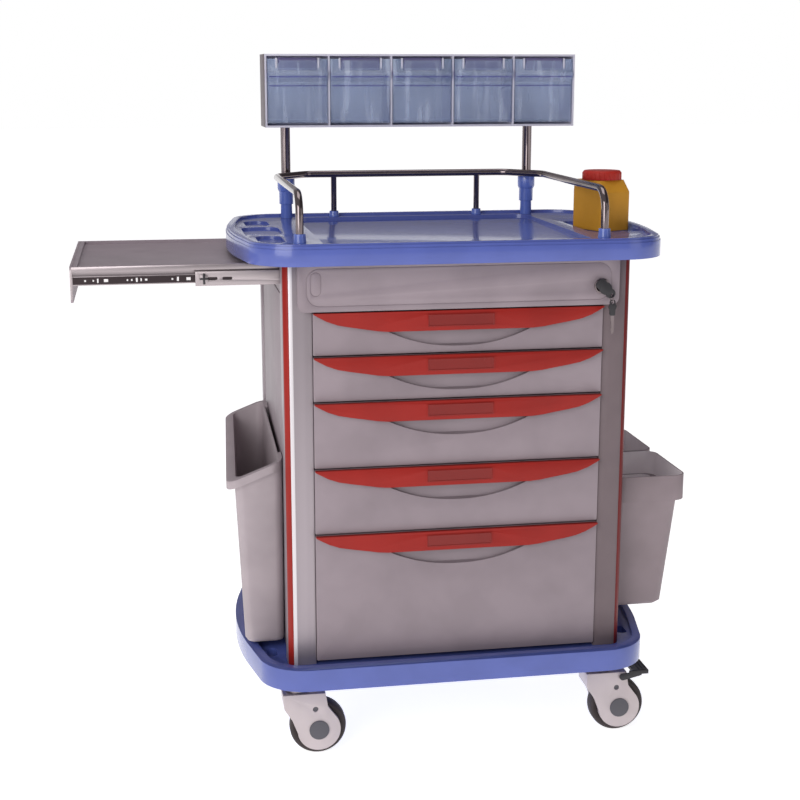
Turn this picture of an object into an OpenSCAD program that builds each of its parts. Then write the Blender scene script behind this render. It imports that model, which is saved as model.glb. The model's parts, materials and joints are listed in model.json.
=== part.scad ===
// Crash cart: a drawer cabinet on a base tray with four swivel casters, a top tray
// with a guard rail, a raised row of tilt-out bins, a slide-out side shelf, a waste
// bin, two side boxes and a sharps container. Millimetres, +Z up, front faces -Y.

/* [Overall] */
// Length of the top tray, side to side
tray_length = 740; // [650:2:850]
// Depth of the top tray, front to back
tray_depth = 540; // [460:5:600]
// Height of the top tray's rim above the floor
tray_top_z = 915; // [860:5:960]
// Height of the base tray's rim above the floor
base_top_z = 197; // [190:1:210]

/* [Cabinet] */
// Half the cabinet's width, over the columns
cab_half = 295; // [280:1:310]
// Half the opening between the columns
open_half = 247; // [230:1:260]
// Depth of the cabinet from the drawer fronts to the back of the columns
cab_depth = 470; // [420:5:500]
// Width of the red strip let into each column
strip_w = 12; // [8:0.5:14]

/* [Drawers] */
// Drawer edge heights, top to bottom
drawer_z = [797.7, 723.5, 646, 532, 417.4, 191];
// Gap between neighbouring drawer fronts
drawer_gap = 3; // [2:0.5:5]
// Thickness of a drawer front
front_t = 18; // [14:1:24]
// Depth of the handle strip at its middle
strip_h = 33; // [24:1:36]
// Depth of a drawer box behind its front
box_depth = 400; // [340:10:410]

/* [Side shelf] */
// How far the shelf stands out of the cabinet as built
shelf_out = 332; // [250:1:340]
// Depth of the shelf, front to back
shelf_depth = 380; // [340:5:382]

/* [Guard rail] */
// Diameter of the rail tube
rail_d = 13; // [10:1:16]
// Height of the rail's centre above the floor
rail_z = 991; // [970:1:1010]
// Half the rail's width between its two legs
rail_half = 255; // [240:1:270]

/* [Tilt bins] */
// Half the width of the tilt-bin housing
bins_half = 288; // [270:1:300]
// Number of tilt bins
bin_count = 5; // [5:1:5]
// Underside of the tilt-bin housing above the floor
bins_z = 1083; // [1060:1:1110]
// Height of the tilt-bin housing
bins_h = 130; // [110:1:140]
// Diameter of the two posts that carry the housing
post_d = 18; // [14:1:20]

/* [Casters] */
// Wheel diameter
wheel_d = 100; // [90:5:105]
// Wheel width
wheel_w = 31; // [26:1:32]
// Trail of the wheel behind the swivel axis
trail = 35; // [30:1:40]

/* [View] */
// Which sub-part to build

/* [Hidden] */
$fn = 48;
shift = [100, -220, 0];
tray_y0 = -50;
tray_z0 = tray_top_z - 35;
tray_floor = tray_top_z - 12;
base_y0 = -40;
base_len = 740;
base_dep = 530;
base_z0 = 155;
floor_z = base_top_z - 10;
col_front_y = 2;
col_d = 40;
col_z1 = tray_z0;
panel_x = 290;
mid_z = 832;
post_x = 235;
post_y = 455;
post_dx = -7;
strut_x = 140;
rail_dx = -10;
rail_y0 = 2;
rail_bend = 34;
rail_turn = 43;
rail_slant = 62;
rail_leg_end = 382;
rail_corner = [-rail_half + rail_bend + rail_slant * sin(rail_turn),
    rail_leg_end + rail_slant * cos(rail_turn)];
rail_y1 = rail_corner.y + rail_bend;
bins_y0 = 344;
bins_d = 100;
bin_pivot = [bins_y0 + 7, bins_z + 11.5];
bin_pitch = (2 * bins_half - 4) / bin_count;
shelf_yc = 236;
caster_xy = [[-275, 60], [275, 60], [-275, 385], [275, 385]];
caster_top = 118;
wheel_z = wheel_d / 2;
lock_xz = [240, 832];
key_hole = [14.1, -14.1];
sharps_at = [300.6, 200];
run = 0.05;

blue = [0.36, 0.44, 0.72];
grey = [0.57, 0.52, 0.54];
silver = [0.68, 0.66, 0.67];
red = [0.67, 0.2, 0.16];
pale = [0.75, 0.71, 0.7];
dark = [0.2, 0.18, 0.2];
chrome = [0.8, 0.8, 0.82];
clear = [0.45, 0.5, 0.8, 0.6];
lilac = [0.74, 0.74, 0.8];
ochre = [0.8, 0.6, 0.25];

// ---------- helpers ----------

// A block between two corners.
module block(a, b) {
    translate(a) cube(b - a);
}

// A rounded rectangle in plan, given by its corners.
module rrect(x0, y0, x1, y1, r) {
    hull() for (x = [x0 + r, x1 - r], y = [y0 + r, y1 - r]) translate([x, y]) circle(r);
}

// A plate standing on a plan outline between two heights.
module slab(z0, z1) {
    translate([0, 0, z0]) linear_extrude(z1 - z0) children();
}

// An outline drawn as (x, z) and pushed back from y0 to y1.
module upright(y0, y1) {
    translate([0, y1, 0]) rotate([90, 0, 0]) linear_extrude(y1 - y0) children();
}

// An outline drawn as (y, z) and pushed right from x0 to x1.
module sideways(x0, x1) {
    translate([x0, 0, 0]) rotate([90, 0, 90]) linear_extrude(x1 - x0) children();
}

// A round bar along Y.
module bar_y(x, z, y0, y1, r) {
    translate([x, y1, z]) rotate([90, 0, 0]) cylinder(r = r, h = y1 - y0);
}

// The bowed plan of both trays: straight front and back, curved ends.
module tray_plan(len, dep, y0, r, bow, inset = 0) {
    xr = len / 2 - inset;
    translate([0, y0 + dep / 2]) hull() {
        for (x = [-1, 1], y = [-1, 1])
            translate([x * (xr - bow - r), y * (dep / 2 - inset - r)]) circle(r);
        for (s = [-1, 1]) polygon([[0, 0], for (i = [-12:12])
            let (y = i / 12 * (dep / 2 - inset - r))
                [s * (xr - bow * pow(i / 12, 2)), y]]);
    }
}

// ---------- base and cabinet ----------

module base_tray() color(blue) difference() {
    union() {
        slab(base_z0, base_top_z - 4) tray_plan(base_len, base_dep, base_y0, 83, 26);
        slab(base_top_z - 4, base_top_z) tray_plan(base_len, base_dep, base_y0, 80, 26, 3);
    }
    slab(floor_z, base_top_z + 1) tray_plan(base_len, base_dep, base_y0, 68, 26, 15);
    slab(base_z0 - 1, floor_z - 17) tray_plan(base_len, base_dep, base_y0, 76, 26, 7);
    for (s = [-1, 1], y = [68, 382]) slab(base_z0, base_top_z)
        translate([s * 318, y]) hull() for (d = [-9, 9]) translate([0, d]) circle(9);
}

module chassis_frame() color(grey) {
    block([-panel_x + 3, 42, floor_z], [panel_x - 3, 430, floor_z + 3.5]);
    block([-open_half, 20, floor_z], [open_half, 42, floor_z + 3.5]);
    block([-panel_x + 3, 42, mid_z], [panel_x - 3, 430, mid_z + 6]);
    block([-open_half, 44, mid_z - 20], [open_half, 46, mid_z]);
    block([-panel_x + 3, 44, tray_z0 - 3], [panel_x - 3, 428, tray_z0]);
}

module caster_mount(at) translate([at.x, at.y, 0]) {
    slab(floor_z - 23, floor_z - 17) rrect(-50, -42, 50, 42, 8);
    translate([0, 0, 131]) cylinder(r = 15, h = floor_z - 23 - 131);
    difference() {
        translate([0, 0, caster_top + 1]) cylinder(r = 22, h = 12);
        translate([0, 0, caster_top]) rotate_extrude() translate([22, 7]) circle(1.6, $fn = 16);
    }
    translate([0, 0, caster_top - 9]) cylinder(r = 8, h = 11);
    for (x = [-38, 38], y = [-30, 30]) translate([x, y, floor_z - 28]) cylinder(r = 5, h = 5);
}

module caster_mounts() color(silver) for (at = caster_xy) caster_mount(at);

// Plan of the front left column, with its rounded corner and the strip's groove.
module column_plan() difference() {
    hull() {
        translate([-cab_half + 16, col_front_y + 16]) circle(16);
        translate([-cab_half, col_front_y + col_d - 1]) square([1, 1]);
        translate([-open_half - 1, col_front_y + 1]) square([1, col_d - 1]);
        translate([-open_half - 14, col_front_y]) square([1, 1]);
    }
    translate([-cab_half + 4.4, col_front_y + 4.4]) rotate(-45)
        square([strip_w, 3.4], center = true);
    translate([-open_half - 12, col_front_y + col_d - 26]) square([8, 22]);
}

module strip_plan() intersection() {
    translate([-cab_half + 4.4, col_front_y + 4.4]) rotate(-45) translate([-strip_w / 2, -3])
        square([strip_w, 4.7]);
    translate([-cab_half + 16, col_front_y + 16]) circle(16.6);
}

// Copies its children into a corner of the cabinet: sx, sy = 1 is front left.
module in_corner(sx, sy)
    translate([0, sy < 0 ? cab_depth + col_front_y : 0]) mirror([0, sy < 0 ? 1 : 0])
        mirror([sx < 0 ? 1 : 0, 0]) children();

module column(sx, sy) color(silver) slab(floor_z, col_z1) in_corner(sx, sy) column_plan();

module column_front_left() column(1, 1);
module column_front_right() difference() {
    column(-1, 1);
    block([open_half - 1, 0, lock_xz.y - 14], [open_half + 9, 19, lock_xz.y + 26]);
}
module column_rear_left() column(1, -1);
module column_rear_right() column(-1, -1);

module column_strips() color(red) for (sx = [1, -1], sy = [1, -1])
    slab(floor_z, col_z1) in_corner(sx, sy) strip_plan();

module side_panel_left() color(grey) {
    block([-panel_x, 42, floor_z], [-panel_x + 3, 430, mid_z + 4]);
    block([-panel_x - 2, 60, floor_z + 20], [-panel_x, 412, mid_z - 12]);
}

module side_panel_right() color(grey) {
    block([panel_x - 3, 42, floor_z], [panel_x, 430, col_z1]);
    block([panel_x, 60, floor_z + 20], [panel_x + 2, 412, mid_z - 12]);
}

module back_panel() color(grey) {
    block([-open_half, 466, floor_z], [open_half, 469, col_z1]);
    for (z = [300, 560]) upright(469, 471) rrect(-190, z, 190, z + 200, 14);
}

module drawer_channels() color(silver) for (k = [0:4], s = [-1, 1])
    let (z = drawer_z[k + 1] + drawer_gap + 24)
    upright(20, 455) polygon([for (p = [[247, -11], [247, 11], [236, 11], [236, 9],
        [245, 9], [245, -9], [236, -9], [236, -11]]) [s * p.x, z + p.y]]);

// ---------- top tray, rail and raised bins ----------

module top_tray() color(blue) difference() {
    union() {
        slab(tray_z0, tray_top_z - 8) tray_plan(tray_length, tray_depth, tray_y0, 84, 20);
        slab(tray_top_z - 8, tray_top_z - 3) tray_plan(tray_length, tray_depth, tray_y0, 82.5, 20, 1.5);
        slab(tray_top_z - 3, tray_top_z) tray_plan(tray_length, tray_depth, tray_y0, 80, 20, 4);
    }
    slab(tray_top_z - 5, tray_top_z + 1) tray_plan(tray_length, tray_depth, tray_y0, 68, 20, 16);
    slab(tray_floor, tray_top_z + 1) rrect(-226, -20, 226, 446, 26);
    slab(tray_z0 - 1, tray_floor - 4) tray_plan(tray_length, tray_depth, tray_y0, 79, 20, 5);
    slab(tray_floor + 2, tray_top_z) {
        rrect(-330, 300, -286, 392, 20);
        rrect(-342, 152, -276, 282, 24);
        rrect(-328, 26, -284, 134, 21);
        rrect(253.5, 104, 349.5, 296, 22);
    }
}

// The left half of the rail's centre line, foot first: [point, direction, side vector].
rail_half_path = concat(
    [[[-rail_half, rail_y0, tray_top_z - 5], [0, 0, 1], [1, 0, 0]]],
    [for (a = [0:10:90]) [[-rail_half, rail_y0 + rail_bend * (1 - cos(a)),
        rail_z - rail_bend * (1 - sin(a))], [0, sin(a), cos(a)], [1, 0, 0]]],
    [for (i = [0:5]) let (a = i * rail_turn / 5) [[-rail_half + rail_bend * (1 - cos(a)),
        rail_leg_end + rail_bend * sin(a), rail_z], [sin(a), cos(a), 0], [cos(a), -sin(a), 0]]],
    [for (i = [0:5]) let (a = rail_turn + i * (90 - rail_turn) / 5)
        [[rail_corner.x - rail_bend * cos(a), rail_corner.y + rail_bend * sin(a), rail_z],
         [sin(a), cos(a), 0], [cos(a), -sin(a), 0]]]);
rail_path = concat(rail_half_path, [for (i = [len(rail_half_path) - 1:-1:0])
    let (p = rail_half_path[i][0], t = rail_half_path[i][1], u = rail_half_path[i][2])
    [[-p.x, p.y, p.z], [t.x, -t.y, -t.z], [-u.x, u.y, u.z]]]);

// A round tube swept along a path, closed at both ends.
module swept_tube(path, r, n = 28) polyhedron(
    points = [for (s = path, j = [0:n - 1])
        s[0] + r * (cos(360 * j / n) * s[2] + sin(360 * j / n) * cross(s[1], s[2]))],
    faces = concat([[for (j = [0:n - 1]) j]],
        [[for (j = [n - 1:-1:0]) (len(path) - 1) * n + j]],
        [for (i = [0:len(path) - 2], j = [0:n - 1]) let (k = (j + 1) % n)
            [i * n + j, (i + 1) * n + j, (i + 1) * n + k, i * n + k]]),
    convexity = 8);

module guard_rail() color(chrome) translate([rail_dx, 0, 0]) {
    swept_tube(rail_path, rail_d / 2);
    for (s = [-1, 1]) translate([s * strut_x, rail_y1, tray_top_z - 5])
        cylinder(d = rail_d - 2, h = rail_z - tray_top_z + 5);
}

module post_sockets() color(blue) {
    for (s = [-1, 1]) {
        translate([s * post_x + post_dx, post_y, 0]) difference() {
            union() {
                translate([0, 0, tray_top_z - 5]) cylinder(r = 11, h = 26);
                translate([0, 0, tray_top_z + 21]) cylinder(r = 13.5, h = 24);
                translate([0, 0, tray_top_z + 45]) cylinder(r1 = 14.5, r2 = 16.5, h = 5);
                translate([0, 0, tray_top_z + 50]) cylinder(r = 16.5, h = 19);
            }
            translate([0, 0, tray_top_z]) cylinder(r = post_d / 2, h = 90);
        }
        translate([s * rail_half + rail_dx, rail_y0, tray_top_z - 5]) difference() {
            cylinder(r1 = 11, r2 = 9.5, h = 17);
            translate([0, 0, -1]) cylinder(r = rail_d / 2, h = 20);
        }
        translate([s * strut_x + rail_dx, rail_y1, tray_top_z - 5]) difference() {
            cylinder(r1 = 10, r2 = 8.5, h = 11);
            translate([0, 0, -1]) cylinder(r = rail_d / 2 - 1, h = 14);
        }
    }
}

module bin_posts() color(chrome) for (s = [-1, 1]) translate([s * post_x + post_dx, post_y, 0]) {
    translate([0, 0, tray_top_z]) cylinder(r = post_d / 2, h = bins_z + 104 - tray_top_z);
    translate([0, 0, bins_z + 104]) cylinder(r1 = post_d / 2, r2 = post_d / 2 - 2, h = 2);
}

module bin_housing() color(lilac) {
    back = bins_y0 + bins_d;
    difference() {
        block([-bins_half, bins_y0, bins_z], [bins_half, back, bins_z + bins_h]);
        for (k = [0:bin_count - 1]) let (x = -bins_half + 3.5 + k * bin_pitch)
            block([x, bins_y0 - 1, bins_z + 3.5], [x + bin_pitch - 3, back - 3, bins_z + bins_h - 3.5]);
        for (k = [0:bin_count - 1]) let (x = -bins_half + 3.5 + k * bin_pitch)
            bar_x(x - 1.5, x + bin_pitch - 1.5, bin_pivot.x, bin_pivot.y, 2.05);
    }
    for (s = [-1, 1], z = [bins_z + 14, bins_z + 78]) difference() {
        block([s * post_x + post_dx - 16, back, z], [s * post_x + post_dx + 16, post_y + 14, z + 22]);
        translate([s * post_x + post_dx, post_y, z - 1]) cylinder(r = post_d / 2, h = 24);
    }
}

// A round bar along X, used for pivots and their holes.
module bar_x(x0, x1, y, z, r) {
    translate([x0, y, z]) rotate([0, 90, 0]) cylinder(r = r, h = x1 - x0);
}

// One tilt bin: side profile as (y, z) from its pivot, hollowed, with a finger lip.
module tilt_bin(k) {
    x0 = -bins_half + 3.5 + k * bin_pitch + 0.6;
    x1 = x0 + bin_pitch - 4.2;
    outer = [[-5, -4], [-6, 70], [-13, 80], [-14, 86], [-9, 90], [-6, 110], [2, 110],
        [70, 60], [76, 44], [76, -4]];
    inner = [[-3, -1.5], [-4, 70], [-11, 80.6], [-12, 86], [-7, 89], [-4, 111], [0, 111],
        [68, 59], [74, 43], [74, -1.5]];
    color(clear) difference() {
        union() {
            sideways(x0, x1) translate(bin_pivot) polygon(outer);
            bar_x(x0 - 1.5, x1 + 1.5, bin_pivot.x, bin_pivot.y, 2);
        }
        difference() {
            sideways(x0 + 1.8, x1 - 1.8) translate(bin_pivot) polygon(inner);
            bar_x(x0, x1, bin_pivot.x, bin_pivot.y, 3.4);
        }
        sideways(x0 + 1.8, x1 - 1.8) translate(bin_pivot)
            polygon([[-3.9, 100], [3, 111.5], [60, 68], [40, 66], [10, 90]]);
    }
}

module tilt_bin_1() tilt_bin(0);
module tilt_bin_2() tilt_bin(1);
module tilt_bin_3() tilt_bin(2);
module tilt_bin_4() tilt_bin(3);
module tilt_bin_5() tilt_bin(4);

// ---------- lock ----------

module lock_panel() color(grey) {
    difference() {
        upright(-8, col_front_y) difference() {
            rrect(-271, 800, 271, 900, 12);
            translate([-300, tray_z0 - 1]) square([600, 40]);
            translate(lock_xz) circle(11);
        }
        upright(-9, -7.2) difference() {
            rrect(-257, 809, 257, 872, 22);
            rrect(-255.6, 810.4, 255.6, 870.6, 20.6);
        }
        upright(-9, -7.2) difference() {
            rrect(-250, 826, -232, 866, 9);
            rrect(-248.8, 827.2, -233.2, 864.8, 7.8);
        }
    }
}

module lock_cylinder() color(chrome) difference() {
    union() {
        bar_y(lock_xz.x, lock_xz.y, -11, -8, 13);
        bar_y(lock_xz.x, lock_xz.y, -8, 14, 11);
    }
    bar_y(lock_xz.x, lock_xz.y, -12, 15, 8 + run);
}

// The plug, the key in it and the cam behind it turn as one.
module lock_key() translate([lock_xz.x, 0, lock_xz.y]) {
    color(chrome) {
        bar_y(0, 0, -10.5, 15, 8);
        rotate([0, 45, 0]) block([-4, -19, -1.1], [4, -9, 1.1]);
    }
    color(silver) block([-5, 14.5, -5], [5, 17, 24]);
    color(dark) difference() {
        upright(-23, -17) union() {
            rotate(-45) rrect(-14, -9, 9, 9, 6);
            translate([key_hole.x, key_hole.y] * 0.8) circle(8);
            rotate(-45) translate([4, 0]) circle(10.5);
        }
        bar_y(key_hole.x, key_hole.y, -24, -16, 2.6);
    }
}

// The second key hangs from a ring through the head of the first.
module spare_key() translate([lock_xz.x + key_hole.x, 0, lock_xz.y + key_hole.y]) {
    color(chrome) translate([0, -20, -6.8]) rotate([0, 90, 0])
        rotate_extrude($fn = 48) translate([7.2, 0]) circle(0.8, $fn = 16);
    color(dark) difference() {
        upright(-26.4, -23.8) union() {
            translate([0, -12]) circle(5);
            translate([0, -19]) circle(6.8);
            rrect(-5, -34, 5, -16, 3);
        }
        bar_y(0, -11.6, -27, -23, 2.9);
    }
    color(chrome) upright(-25.8, -24.4) polygon([[-3, -33], [3, -33], [3, -62], [0, -66],
        [-2, -62], [-3, -56], [-1.6, -53], [-3, -49], [-1.6, -46], [-3, -42]]);
}

// ---------- drawers ----------

function drawer_top(k) = drawer_z[k];
function drawer_bot(k) = drawer_z[k + 1] + drawer_gap;

// Right half of the handle strip's outline, from the middle outwards, down from the top.
strip_half = [[0, strip_h], [123, strip_h], [140, strip_h - 1.5], [160, strip_h - 5], [185, strip_h - 9],
    [206, strip_h - 13], [224, strip_h - 19.5], [238, strip_h - 27], [245.5, 1.5]];

module strip_outline(top) polygon(concat(
    [for (i = [len(strip_half) - 1:-1:0]) [-strip_half[i].x, top - strip_half[i].y]],
    [for (p = strip_half) [p.x, top - p.y]], [[245.5, top], [-245.5, top]]));

// The shallow smile-shaped finger scoop below the strip.
module scoop_outline(top, half = 124, deep = 28) polygon(concat(
    [for (i = [0:24]) let (t = -1 + i / 12) [half * t, top - strip_h - deep * (1 - pow(abs(t), 2.2))]],
    [[half, top - strip_h + 18], [-half, top - strip_h + 18]]));

module drawer_front(k) color(grey) difference() {
    upright(0, front_t) rrect(-246, drawer_bot(k), 246, drawer_top(k), 2);
    difference() {
        upright(-1, 7) scoop_outline(drawer_top(k));
        translate([0, 0, drawer_top(k) - strip_h - 28]) rotate([24, 0, 0])
            block([-200, 0, -30], [200, 40, 0]);
    }
}

module drawer_handle(k) color(red) difference() {
    union() {
        upright(-9, 0) strip_outline(drawer_top(k));
        upright(-10, -9) rrect(-58, drawer_top(k) - 27, 58, drawer_top(k) - 5, 2);
    }
    upright(-7, 1) strip_outline_inner(drawer_top(k));
}

// The hollow behind the strip that the fingers reach into.
module strip_outline_inner(top) polygon([[-118, top - strip_h - 1], [118, top - strip_h - 1],
    [118, top - 10], [-118, top - 10]]);

module drawer_box(k) {
    zb = drawer_bot(k) + 5;
    zt = drawer_top(k) - 14;
    color(pale) difference() {
        slab(zb, zt) rrect(-230, front_t, 230, front_t + box_depth, 8);
        slab(zb + 2.5, zt + 1) rrect(-227.5, front_t + 2.5, 227.5, front_t + box_depth - 2.5, 6);
    }
    color(silver) for (s = [-1, 1])
        block([s > 0 ? 230 : -243.4, front_t, drawer_bot(k) + 17],
            [s > 0 ? 243.4 : -230, front_t + box_depth, drawer_bot(k) + 31]);
}

module drawer_1_front() drawer_front(0);
module drawer_1_handle() drawer_handle(0);
module drawer_1_box() drawer_box(0);
module drawer_2_front() drawer_front(1);
module drawer_2_handle() drawer_handle(1);
module drawer_2_box() drawer_box(1);
module drawer_3_front() drawer_front(2);
module drawer_3_handle() drawer_handle(2);
module drawer_3_box() drawer_box(2);
module drawer_4_front() drawer_front(3);
module drawer_4_handle() drawer_handle(3);
module drawer_4_box() drawer_box(3);
module drawer_5_front() drawer_front(4);
module drawer_5_handle() drawer_handle(4);
module drawer_5_box() drawer_box(4);

// ---------- side shelf ----------

// A slide member's (y, z) section: a web with two lips turned towards the shelf.
module member(y, s, web, z0, z1, lip, x0, x1) sideways(x0, x1) translate([y, 0])
    polygon([for (p = [[0, z0], [lip, z0], [lip, z0 + 1.5], [web, z0 + 1.5], [web, z1 - 1.5],
        [lip, z1 - 1.5], [lip, z1], [0, z1]]) [s * p.x, p.y]]);

module shelf_slide_outer() color(silver) for (s = [-1, 1])
    member(shelf_yc - s * 192, s, 1.5, 838, 866, 7.5, -248, 45);

module shelf_slide_middle() color(silver) for (s = [-1, 1]) {
    difference() {
        member(shelf_yc - s * 189.8, s, 1.5, 840.2, 863.8, 5.4, -432, -150);
        for (x = [-404, -380]) translate([x, shelf_yc - s * 189, 852]) rotate([90, 0, 0])
            linear_extrude(8, center = true) rrect(-8, -2.5, 8, 2.5, 2);
    }
    color(dark) block([-424, shelf_yc - s * 191.2 - 0.6, 846], [-412, shelf_yc - s * 191.2 + 0.6, 858]);
}

module shelf_deck() {
    x0 = -300 - shelf_out;
    half = shelf_depth / 2;
    color(grey) {
        difference() {
            block([x0 + 3, shelf_yc - half, 867], [-266, shelf_yc + half, 875.5]);
            block([x0 + 12, shelf_yc - half + 9, 870], [-275, shelf_yc + half - 9, 877]);
        }
        sideways(x0, x0 + 4) rrect(shelf_yc - half, 817, shelf_yc + half, 876, 5);
    }
    color(silver) for (s = [-1, 1]) {
        difference() {
            block([x0 + 4, min(shelf_yc - s * 187.6, shelf_yc - s * 181), 845],
                [-290, max(shelf_yc - s * 187.6, shelf_yc - s * 181), 860]);
            for (x = [x0 + 40:26:-480]) translate([x, shelf_yc - s * 187.6, 852.5]) rotate([90, 0, 0])
                cylinder(r = 3, h = 4, center = true);
        }
        block([x0 + 4, min(shelf_yc - s * 183.5, shelf_yc - s * 181), 859],
            [-290, max(shelf_yc - s * 183.5, shelf_yc - s * 181), 868]);
    }
}

// ---------- hanging bins and the sharps container ----------

// J-shaped hanger rails on the side panels.
module box_hangers() color(silver) {
    for (h = [[-1, 110, 350, 470], [1, 80, 220, 440], [1, 262, 402, 440]])
        upright(h[1], h[2]) polygon([for (p = [[292, 0], [297.4, 0], [297.4, 20], [296, 20],
            [296, 2], [293.5, 2], [293.5, 20], [292, 20]]) [h[0] * p.x, h[3] + p.y]]);
}

// Two tabs that drop into a hanger rail; x is the wall they stand on.
module tabs(s, y0, y1, z) for (y = [y0 + 30, y1 - 70])
    upright(y, y + 40) polygon([for (p = [[299, 27], [299, 21], [295.5, 21], [295.5, 4],
        [294, 4], [294, 27]]) [s * p.x, z + p.y]]);

// A tapered solid between two plan rectangles [x0, y0, x1, y1].
module taper(lo, hi, z0, z1, r) hull() {
    slab(z0, z0 + 0.1) rrect(lo[0], lo[1], lo[2], lo[3], r, $fn = 32);
    slab(z1 - 0.1, z1) rrect(hi[0], hi[1], hi[2], hi[3], r, $fn = 32);
}

// The space under the waste bin's sloping rim, dropped by some amount.
module under_rim(drop, grow = 0) {
    x = [-400 - grow, -280 + grow];
    y = [40 - grow, 420 + grow];
    function rim(p) = 500 + (p.x + 390) * 0.39 + (p.y - 54) * 0.09 - drop;
    plan = [[x[0], y[0]], [x[1], y[0]], [x[1], y[1]], [x[0], y[1]]];
    polyhedron(points = concat([for (p = plan) [p.x, p.y, 190 - grow]],
        [for (p = plan) [p.x, p.y, rim(p)]]),
        faces = [[0, 1, 2, 3], [4, 7, 6, 5], [0, 4, 5, 1], [1, 5, 6, 2], [2, 6, 7, 3], [3, 7, 4, 0]]);
}

// The waste bin's plan: a rounded rectangle whose outer side closes in towards the rear.
module bin_plan(x0, y0, x1, y1, r) hull() {
    for (p = [[x0, y0 + r], [x0 + 17.5, y1 - r]]) translate([p.x + r, p.y]) circle(r);
    for (y = [y0 + r, y1 - r]) translate([x1 - r, y]) circle(r);
}

module waste_bin() color(pale) {
    lo = [-362, 76, -293.4, 384];
    hi = [-379, 58, -293.4, 402];
    difference() {
        intersection() {
            union() {
                hull() {
                    slab(201, 201.1) bin_plan(lo[0] + 11, lo[1] + 11, lo[2] - 4, lo[3] - 11, 12, $fn = 32);
                    slab(204, 204.1) bin_plan(lo[0] + 4, lo[1] + 4, lo[2] - 1, lo[3] - 4, 15, $fn = 32);
                    slab(211, 211.1) bin_plan(lo[0], lo[1], lo[2], lo[3], 16, $fn = 32);
                    slab(574, 574.1) bin_plan(hi[0], hi[1], hi[2], hi[3], 16, $fn = 32);
                }
                difference() {
                    slab(191, 574) bin_plan(-389.5, 53.5, -293.4, 406.5, 22);
                    under_rim(14, 5);
                }
            }
            under_rim(0);
        }
        hull() {
            slab(213, 213.1) bin_plan(lo[0] + 2.5, lo[1] + 2.5, -301, lo[3] - 2.5, 13, $fn = 32);
            slab(574.9, 575) bin_plan(hi[0] + 2.5, hi[1] + 2.5, -301, hi[3] - 2.5, 13, $fn = 32);
        }
        block([-298.5, 100, 180], [-290, 360, 580]);
    }
    tabs(-1, 110, 350, 470);
}

module side_box(y0, y1) color(pale) {
    lo = [299, y0 + 12, 398, y1 - 12];
    hi = [299, y0 + 5, 420, y1 - 5];
    difference() {
        union() {
            hull() {
                slab(230, 230.1) rrect(lo[0] + 3, lo[1] + 6, lo[2] - 7, lo[3] - 6, 14, $fn = 32);
                slab(236, 236.1) rrect(lo[0], lo[1], lo[2], lo[3], 16, $fn = 32);
                slab(433.9, 434) rrect(hi[0], hi[1], hi[2], hi[3], 18, $fn = 32);
            }
            slab(430, 476) rrect(299, y0, 432, y1, 22);
        }
        taper([lo[0] + 2.5, lo[1] + 2.5, lo[2] - 2.5, lo[3] - 2.5],
            [hi[0] + 2.5, hi[1] + 2.5, hi[2] - 2.5, hi[3] - 2.5], 238, 433, 13);
        slab(432.5, 477) rrect(301.5, y0 + 2.5, 429.5, y1 - 2.5, 19.5);
    }
    tabs(1, y0 + 12, y1 - 12, 440);
}

module side_box_front() side_box(60, 238);
module side_box_rear() side_box(242, 420);

// Puts its children where the sharps container stands, turned a little to the front.
module on_sharps() translate([sharps_at.x, sharps_at.y, 0]) rotate(22) children();

module sharps_body() color(ochre) on_sharps() difference() {
    union() {
        slab(tray_top_z - 9.5, tray_top_z + 58) rrect(-33, -44, 33, 44, 10);
        hull() {
            slab(tray_top_z + 57.9, tray_top_z + 58) rrect(-33, -44, 33, 44, 10);
            slab(tray_top_z + 77.9, tray_top_z + 78) rrect(-32, -28, 32, 43, 9);
        }
        translate([0, 0, tray_top_z + 77]) cylinder(r = 27, h = 10);
    }
    slab(tray_top_z - 7.5, tray_top_z + 57) rrect(-31, -42, 31, 42, 8);
    hull() {
        slab(tray_top_z + 56.9, tray_top_z + 57) rrect(-31, -42, 31, 42, 8);
        slab(tray_top_z + 75.4, tray_top_z + 75.5) rrect(-30, -26, 30, 41, 7);
    }
    translate([0, 0, tray_top_z + 70]) cylinder(r = 24.5, h = 30);
}

module sharps_cap() color(red) on_sharps() difference() {
    union() {
        translate([0, 0, tray_top_z + 78.6]) cylinder(r = 35, h = 12);
        translate([0, 0, tray_top_z + 90.6]) cylinder(r1 = 35, r2 = 32, h = 4);
    }
    translate([0, 0, tray_top_z + 78]) cylinder(r = 27 + run, h = 11);
    for (a = [0:15:345]) rotate(a) translate([35.8, 0, tray_top_z + 76]) cylinder(r = 1.8, h = 22, $fn = 16);
}

// ---------- casters ----------

// Side outline of a caster's housing, as (x, z) from the swivel axis.
module housing_side() {
    translate([trail, wheel_z]) circle(wheel_d / 2 - 12, $fn = 96);
    polygon([[-28, caster_top], [trail + 12, caster_top], [trail + 16, wheel_z + 42],
        [trail + 28, wheel_z + 26], [trail, wheel_z], [trail - 31, wheel_z - 22],
        [-12, wheel_z + 20], [-26, wheel_z + 42]]);
}

module caster(at, brake) translate([at.x, at.y, 0]) {
    color(pale) difference() {
        upright(-27, 27) housing_side();
        bar_y(trail, wheel_z, -18, 18, wheel_d / 2 + 2.5);
        bar_y(trail, wheel_z, -30, 30, 6);
        translate([0, 0, caster_top - 10]) cylinder(r = 8 + run, h = 11);
        for (s = [-1, 1]) translate([trail - 6, s * 27, wheel_z + 39]) rotate([90, 0, 0])
            cylinder(r = 5, h = 4, center = true);
        if (brake) bar_y(trail + 4, caster_top - 8, -30, 30, 3 + run);
    }
    color(chrome) bar_y(trail, wheel_z, -27, 27, 6);
    color(dark) for (s = [-1, 1]) translate([trail, s * 28, wheel_z]) rotate([90, 0, 0])
        cylinder(r = 17.5, h = 3, center = true);
}

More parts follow.
